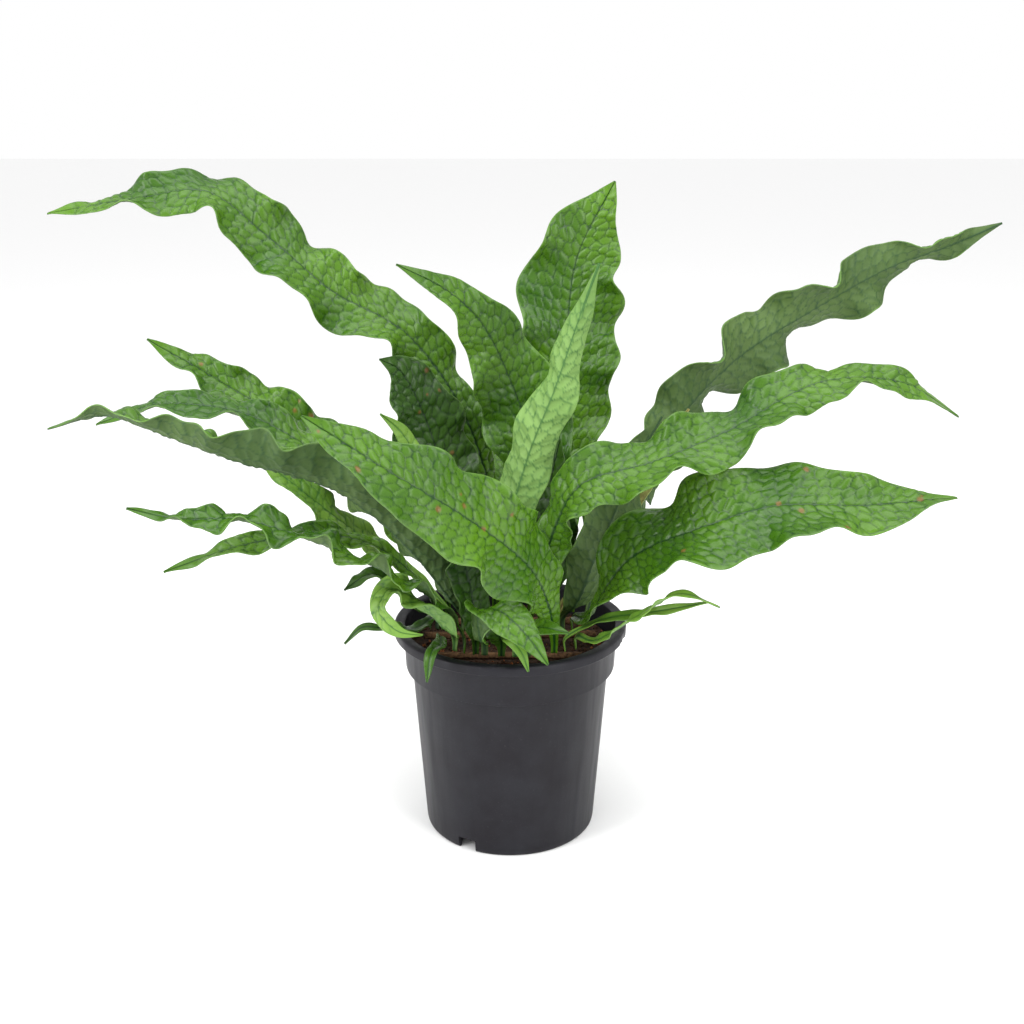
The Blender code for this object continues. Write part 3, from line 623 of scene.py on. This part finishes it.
def half_width(frond, share):
    """Half the frond's width at a share of its length: stalk, widest place, pointed tip."""
    widest = frond.width / 2
    rise = smooth_step(0.0, frond.widest, share)
    fall = np.clip((share - frond.widest) / (1 - frond.widest), 0.0, 1.0)
    fall = np.cos(fall ** frond.tail * math.pi / 2)
    growing = STALK_HALF_WIDTH + (widest - STALK_HALF_WIDTH) * rise
    closing = TIP_HALF_WIDTH + (widest - TIP_HALF_WIDTH) * fall
    return np.where(share < frond.widest, growing, closing)


def cell_net(run, out, seed):
    """Distance in mm from the vein net, whose cells are the ground round staggered seeds."""
    draw = np.random.default_rng(seed)
    sway = draw.uniform(-CELL_JITTER, CELL_JITTER, (2, 128, 16, 2))
    side = (out > 0).astype(int)
    row = np.abs(out) / CELL_WIDTH
    column = (run - np.abs(out) * VEIN_SLANT) / CELL_LENGTH + 10
    first = np.full(run.shape, 9.0)
    second = np.full(run.shape, 9.0)
    for down in (-1, 0, 1):
        for over in (-2, -1, 0, 1, 2):
            r = np.floor(row) + down
            c = np.floor(column) + over
            nudge = sway[side, (c.astype(int)) % 128, (r.astype(int)) % 16]
            dr = (r + 0.5 + nudge[..., 0] - row) * CELL_WIDTH
            dc = (c + 0.5 + 0.5 * (r % 2) + nudge[..., 1] - column) * CELL_LENGTH
            far = np.hypot(dr, dc)
            second = np.minimum(second, np.maximum(first, far))
            first = np.minimum(first, far)
    return second - first


def blade_material(name, upper, pale, vein, gloss, patchy):
    """Frond skin: green cells mottled from dark to pale, darker veins, and a thin pale margin."""
    material, nodes, links = plain_material(name)
    shader = nodes["Principled BSDF"]
    place = nodes.new("ShaderNodeTexCoord")
    patch = nodes.new("ShaderNodeTexNoise")
    patch.inputs["Scale"].default_value = patchy
    patch.inputs["Detail"].default_value = 5
    links.new(place.outputs["Object"], patch.inputs["Vector"])
    ground = nodes.new("ShaderNodeValToRGB")
    ground.color_ramp.elements[0].position = 0.36
    ground.color_ramp.elements[0].color = (*upper, 1)
    ground.color_ramp.elements[1].position = 0.70
    ground.color_ramp.elements[1].color = (*pale, 1)
    links.new(patch.outputs["Fac"], ground.inputs["Fac"])
    colour = ground.outputs["Color"]
    for layer_name, tone in (("vein", vein), ("margin", MARGIN_COLOUR), ("blemish", BLEMISH_COLOUR)):
        mark = nodes.new("ShaderNodeAttribute")
        mark.attribute_name = layer_name
        layer = nodes.new("ShaderNodeMix")
        layer.data_type = "RGBA"
        links.new(mark.outputs["Fac"], layer.inputs["Factor"])
        links.new(colour, layer.inputs["A"])
        layer.inputs["B"].default_value = (*tone, 1)
        colour = layer.outputs["Result"]
    links.new(colour, shader.inputs["Base Color"])
    skin = nodes.new("ShaderNodeTexNoise")
    skin.inputs["Scale"].default_value = 350
    skin.inputs["Detail"].default_value = 4
    links.new(place.outputs["Object"], skin.inputs["Vector"])
    wax = nodes.new("ShaderNodeMapRange")
    wax.inputs["From Min"].default_value = 0.35
    wax.inputs["From Max"].default_value = 0.65
    wax.inputs["To Min"].default_value = gloss
    wax.inputs["To Max"].default_value = gloss + 0.14
    links.new(skin.outputs["Fac"], wax.inputs["Value"])
    links.new(wax.outputs["Result"], shader.inputs["Roughness"])
    shader.inputs["Specular IOR Level"].default_value = 0.32
    fine = nodes.new("ShaderNodeBump")
    fine.inputs["Strength"].default_value = 0.25
    fine.inputs["Distance"].default_value = 0.0002
    links.new(skin.outputs["Fac"], fine.inputs["Height"])
    links.new(fine.outputs["Normal"], shader.inputs["Normal"])
    return material


# Skins for the upper side and underside. The second, darker pair is painted shade: darker copies of the
# mature skins that stand for the shadow inside the crown, not for a colour of the fronds.
UPPER = {
    "mature": blade_material("frond_upper", (0.028, 0.090, 0.003), (0.075, 0.180, 0.007),
                             (0.008, 0.040, 0.007), 0.24, 16),
    "painted_shade": blade_material("frond_upper_painted_shade", (0.017, 0.055, 0.004), (0.042, 0.110, 0.008),
                           (0.005, 0.024, 0.005), 0.28, 18),
    "young": blade_material("frond_upper_young", (0.090, 0.205, 0.018), (0.175, 0.315, 0.045),
                            (0.030, 0.110, 0.018), 0.32, 16),
    "yellow": blade_material("frond_upper_yellow", (0.200, 0.210, 0.050), (0.330, 0.310, 0.100),
                             (0.140, 0.100, 0.030), 0.55, 30),
}
UNDER = {
    "mature": blade_material("frond_under", (0.040, 0.082, 0.016), (0.070, 0.125, 0.028),
                             (0.016, 0.050, 0.012), 0.55, 14),
    "painted_shade": blade_material("frond_under_painted_shade", (0.022, 0.062, 0.017), (0.045, 0.100, 0.030),
                           (0.010, 0.032, 0.009), 0.60, 14),
    "young": blade_material("frond_under_young", (0.105, 0.210, 0.042), (0.165, 0.290, 0.072),
                            (0.032, 0.105, 0.018), 0.50, 16),
    "yellow": blade_material("frond_under_yellow", (0.180, 0.180, 0.055), (0.290, 0.265, 0.095),
                             (0.130, 0.090, 0.030), 0.70, 30),
}
# The first group sits in the shade inside the crown and wears the darker skins, which are painted shade.
AGES = {
    "painted_shade": ("frond_inner_left", "frond_left_dark", "frond_front_dark", "frond_left_ribbon",
             "frond_back_low_left", "frond_centre_dark", "frond_middle_dark", "frond_left_inner"),
    "young": ("frond_left_pale", "frond_centre_pale", "frond_left_curl", "frond_right_thin",
              "frond_right_slim", "frond_inner_slim", "frond_front_hook"),
    "yellow": ("frond_right_yellow",),
}
SPOTTED = ("frond_left_second", "frond_inner_left", "frond_right_bright", "frond_sweeping")


def age_of(frond):
    """Which of the four skins a frond wears; the darker second skin is painted shade, for fronds that sit in
    the shadow inside the crown.
    """
    for age, names in AGES.items():
        if frond.name in names:
            return age
    return "mature"


def grow_frond(frond, number):
    """One frond: a fine grid bent along its midrib, puckered by its veins, then thickened."""
    draw = np.random.default_rng(100 + number)
    foot = along(np.linspace(0, 1, 200), arm_line(frond.arm, 200), [frond.spot])[0]
    foot[2] += ROOT_RADIUS + GAP
    stations = np.linspace(0.0, 1.0, 400)
    line, length = smooth_line([foot, foot + (0, 0, STALK_STUB), *frond.route], 400)
    onward = unit(np.gradient(line, axis=0))
    look = along(np.linspace(0, 1, len(frond.faces)), unit(np.array(frond.faces, float)), stations)
    upper = unit(look - np.sum(look * onward, axis=1, keepdims=True) * onward)
    right = np.cross(onward, upper)
    bpy.ops.object.select_all(action="DESELECT")
    bpy.ops.mesh.primitive_grid_add(x_subdivisions=max(8, 2 * round(frond.width / FINENESS / 2)),
                                    y_subdivisions=round(length / FINENESS), size=2)
    blade = bpy.context.object
    blade.name = frond.name + "_blade"
    mesh = blade.data
    flat = np.empty(len(mesh.vertices) * 3)
    mesh.vertices.foreach_get("co", flat)
    flat = flat.reshape(-1, 3)
    out = flat[:, 0]
    share = (flat[:, 1] + 1) / 2
    count, lift = frond.waves
    ripple = math.tau * count * share
    swell = np.clip(share * 4, 0, 1)
    frill = np.where(out > 0, np.sin(ripple + 2), np.sin(ripple)) * lift
    frill += np.where(out > 0, np.sin(2.7 * ripple + number),
                      np.sin(2.3 * ripple + 1.3 * number)) * lift * 0.3
    rest = np.where(out > 0, np.interp(share, np.linspace(0, 1, len(frond.right)), frond.right),
                    np.interp(share, np.linspace(0, 1, len(frond.left)), frond.left))
    angle = np.radians(rest + swell * frill) * (0.4 + 0.6 * np.abs(out))
    lobe = 1 + 0.09 * np.abs(out) * swell * np.where(out > 0, np.sin(1.5 * ripple + 0.9 + number),
                                                     np.sin(1.4 * ripple + 2.2 * number))
    half = half_width(frond, share) * lobe
    level = out * half * np.cos(angle)
    height = np.abs(out) * half * np.sin(angle)
    body = along(stations, line, share) + along(stations, right, share) * level[:, None] \
        + along(stations, upper, share) * height[:, None]
    mesh.vertices.foreach_set("co", (body * MM).ravel())
    mesh.update()
    normal = np.empty(len(mesh.vertices) * 3)
    mesh.vertices.foreach_get("normal", normal)
    normal = normal.reshape(-1, 3)

    across_mm = out * half
    run = share * length
    broad = smooth_step(3.0, 9.0, half)
    gap = cell_net(run, across_mm, 300 + number)
    rib = smooth_step(1.5 - 0.8 * share, 0.5 - 0.3 * share, np.abs(across_mm))
    slanted = (run - np.abs(across_mm) * VEIN_SLANT) / CELL_LENGTH
    lateral = np.abs((slanted / 2 + 0.1 * draw.uniform()) % 1.0 - 0.5)
    lateral = smooth_step(0.09, 0.02, lateral) * broad
    vein = np.clip(smooth_step(1.1, 0.15, gap) * 0.75 * broad + lateral * 0.35 + rib, 0, 1)
    pucker = smooth_step(0.0, 3.2, gap) * 0.85 * broad
    pillow = np.sin(math.pi * slanted) * 0.45 * broad
    pillow *= smooth_step(0.0, 8.0, np.abs(across_mm)) * smooth_step(1.0, 0.8, np.abs(out))
    relief = pucker * smooth_step(1.0, 0.9, np.abs(out)) + pillow - 0.5 * rib - 0.15 * lateral
    mesh.vertices.foreach_set("co", ((body + normal * relief[:, None]) * MM).ravel())
    margin = smooth_step(0.955, 0.99, np.abs(out)) * 0.35 * broad
    blemish = np.zeros(len(out))
    if frond.name in SPOTTED:
        for spot in range(7):
            s, o, size = draw.uniform(0.45, 0.97), draw.uniform(-0.9, 0.9), draw.uniform(0.8, 2.0)
            far = np.hypot(run - s * length, across_mm - o * half)
            blemish = np.maximum(blemish, smooth_step(size * 1.3, size * 0.7, far) * 0.8)
    for label, values in (("vein", vein), ("margin", margin), ("blemish", blemish)):
        layer = mesh.attributes.new(label, "FLOAT", "POINT")
        layer.data.foreach_set("value", values.astype(np.float32))
    age = age_of(frond)
    mesh.materials.append(UPPER[age])
    mesh.materials.append(UNDER[age])
    thickness = blade.modifiers.new("thickness", "SOLIDIFY")
    thickness.thickness = BLADE * MM
    thickness.offset = 0.0
    thickness.material_offset = 1
    apply_all(blade)
    blade.data.shade_smooth()
    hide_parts(frond.name)
    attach(blade, "root")


for number, frond in enumerate(FRONDS):
    grow_frond(frond, number)
